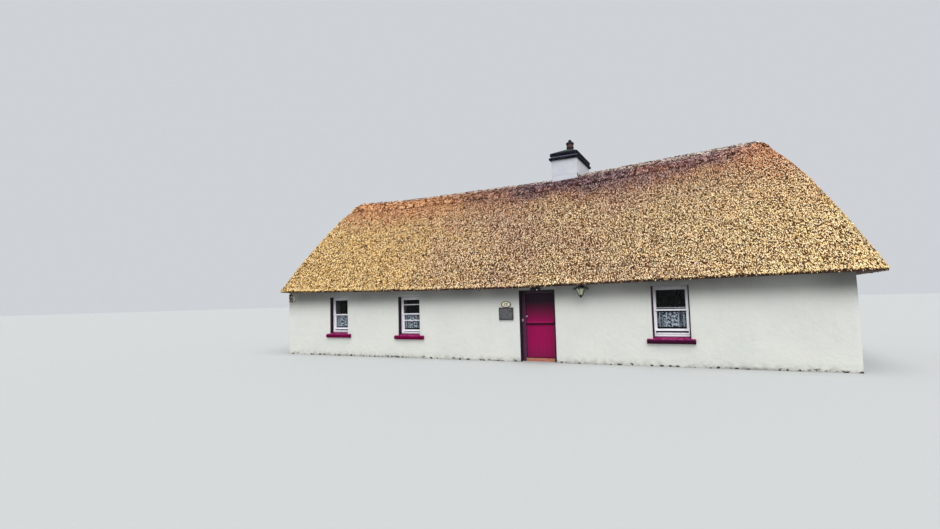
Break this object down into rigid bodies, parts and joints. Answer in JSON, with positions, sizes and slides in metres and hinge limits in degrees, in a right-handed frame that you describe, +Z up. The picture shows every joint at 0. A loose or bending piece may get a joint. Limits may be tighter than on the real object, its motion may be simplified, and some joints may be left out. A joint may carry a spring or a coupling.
{
  "type": "thatched cottage",
  "caption": "Single-storey whitewashed stone cottage with a hipped thatched roof, a chimney in line with the door, a half door and sash windows.",
  "frame": {"origin": "on the ground, under the middle of the roof's outline", "axes": "+X along the front wall to the right, +Y into the house from the front, +Z up"},
  "size_m": [17.39, 6.748, 7.31],
  "materials": {
    "limewash": "matt limewash over rubble stone",
    "earth_floor": "matt screed",
    "thatch": "matt cut straw",
    "ridge_thatch": "weathered grey straw",
    "chimney_cap": "dark weathered concrete",
    "pot_clay": "sooty fired clay",
    "door_paint": "satin gloss magenta paint on boards",
    "sill_paint": "satin magenta paint",
    "window_paint": "satin white paint",
    "glass": "clear window glass",
    "lace": "open white lace net",
    "bare_wood": "worn oiled board",
    "slate": "honed slate",
    "enamel": "glazed number plate",
    "dark_iron": "black painted iron",
    "brass": "polished, a little worn",
    "lamp_glass": "seeded lamp glass"
  },
  "bodies": {
    "house": {"front_wall_left": "limewash", "front_wall_over_door": "limewash", "front_wall_right": "limewash", "back_wall": "limewash", "left_end_wall": "limewash", "right_end_wall": "limewash", "chimney_stack": "limewash", "floor": "earth_floor", "thatch_left_hip": "thatch", "thatch_right_hip": "thatch", "thatch_front": "thatch", "thatch_back": "thatch", "thatch_ridge": "ridge_thatch", "chimney_cap": "chimney_cap", "chimney_pot": "pot_clay", "chimney_cowl": "dark_iron", "lantern_cage": "dark_iron", "door_lamp": "dark_iron", "window_1_joinery": "window_paint", "window_2_joinery": "window_paint", "window_3_joinery": "window_paint", "back_window_1_joinery": "window_paint", "back_window_2_joinery": "window_paint", "window_1_upper_glass": "glass", "window_1_lower_glass": "glass", "window_2_upper_glass": "glass", "window_2_lower_glass": "glass", "window_3_upper_glass": "glass", "window_3_lower_glass": "glass", "back_window_1_upper_glass": "glass", "back_window_1_lower_glass": "glass", "back_window_2_upper_glass": "glass", "back_window_2_lower_glass": "glass", "window_1_sill": "sill_paint", "window_2_sill": "sill_paint", "window_3_sill": "sill_paint", "back_window_1_sill": "sill_paint", "back_window_2_sill": "sill_paint", "window_1_curtain": "lace", "window_2_curtain": "lace", "window_3_curtain": "lace", "door_frame": "door_paint", "door_threshold": "bare_wood", "door_latch": "brass", "slate_plaque": "slate", "number_plate": "enamel", "lantern_glass": "lamp_glass"},
    "lower_leaf": {"door_lower_leaf": "door_paint"},
    "upper_leaf": {"door_upper_leaf": "door_paint", "door_knob": "brass"}
  },
  "joints": [
    {"name": "lower_leaf_hinge", "type": "hinge", "parent": "house", "child": "lower_leaf", "pos_m": [1.297, -2.67, 0.575], "axis": [0, 0, -1], "range_deg": [0, 90]},
    {"name": "upper_leaf_hinge", "type": "hinge", "parent": "house", "child": "upper_leaf", "pos_m": [1.297, -2.67, 1.475], "axis": [0, 0, -1], "range_deg": [0, 90]}
  ]
}
